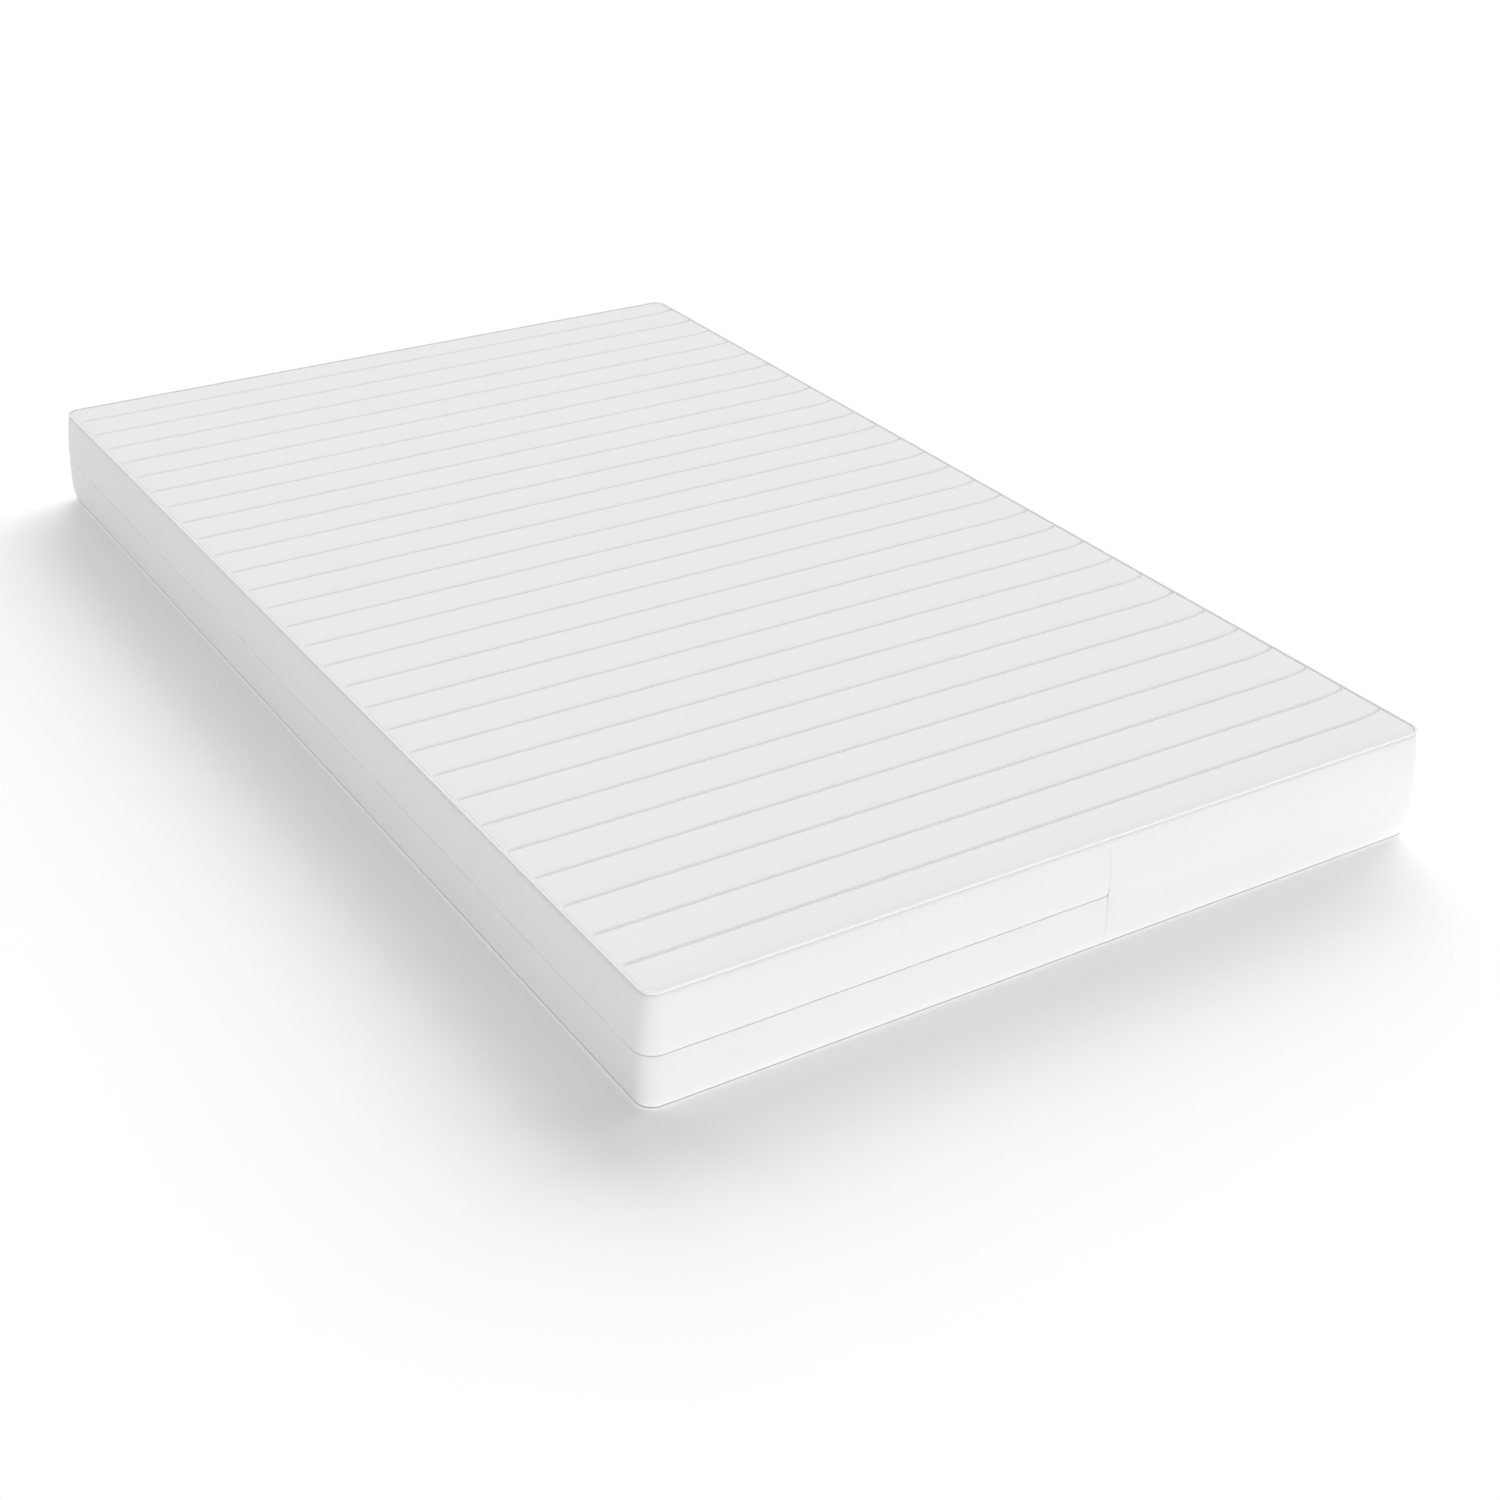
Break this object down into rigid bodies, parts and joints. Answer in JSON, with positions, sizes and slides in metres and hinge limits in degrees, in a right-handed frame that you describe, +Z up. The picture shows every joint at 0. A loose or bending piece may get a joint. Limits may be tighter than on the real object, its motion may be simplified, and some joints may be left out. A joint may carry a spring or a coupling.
{
  "type": "memory foam mattress",
  "caption": "Single foam mattress in a white quilted cover with cross-wise quilting, edge piping and a zip round one side.",
  "frame": {"origin": "centre of the underside's bounding box, on the floor", "axes": "+X across the width, +Y along the length away from the front end, +Z up out of the sleeping surface"},
  "size_m": [1.2, 2.0023, 0.16],
  "materials": {
    "cover_fabric": "matte knit",
    "piping": "satin",
    "wadding": "matte fibre",
    "scrim": "matte non-woven",
    "sock_fabric": "matte knit",
    "zip_tape": "matte weave",
    "memory_foam": "matte open-cell foam",
    "support_foam": "matte open-cell foam",
    "zip_coil": "semi-matte",
    "zip_metal": "semi-gloss white",
    "stop_metal": "satin"
  },
  "bodies": {
    "mattress": {"support_foam_core": "support_foam", "memory_foam_layer": "memory_foam", "inner_sock": "sock_fabric", "top_face_fabric": "cover_fabric", "top_wadding": "wadding", "top_backing_scrim": "scrim", "bottom_face_fabric": "cover_fabric", "bottom_wadding": "wadding", "bottom_backing_scrim": "scrim", "top_edge_piping": "piping", "bottom_edge_piping": "piping", "upper_border_fabric": "cover_fabric", "upper_border_wadding": "wadding", "lower_border_fabric": "cover_fabric", "lower_border_wadding": "wadding", "plain_border_fabric": "cover_fabric", "plain_border_wadding": "wadding", "front_join_tape": "zip_tape", "rear_join_tape": "zip_tape", "zip_tape_upper": "zip_tape", "zip_tape_lower": "zip_tape", "zip_coil_upper": "zip_coil", "zip_coil_lower": "zip_coil", "zip_top_stop_upper": "stop_metal", "zip_top_stop_lower": "stop_metal", "zip_bottom_stop": "stop_metal"},
    "slider": {"zip_slider": "zip_metal"},
    "pull": {"zip_pull_tab": "zip_metal"}
  },
  "joints": [
    {"name": "zip_slide", "type": "slide", "parent": "mattress", "child": "slider", "axis": [-1, 0, 0], "range_m": [0, 0.6]},
    {"name": "pull_flip", "type": "hinge", "parent": "slider", "child": "pull", "pos_m": [0.0367, 1.0008, 0.078], "axis": [0, 0, -1], "range_deg": [0, 170]}
  ]
}
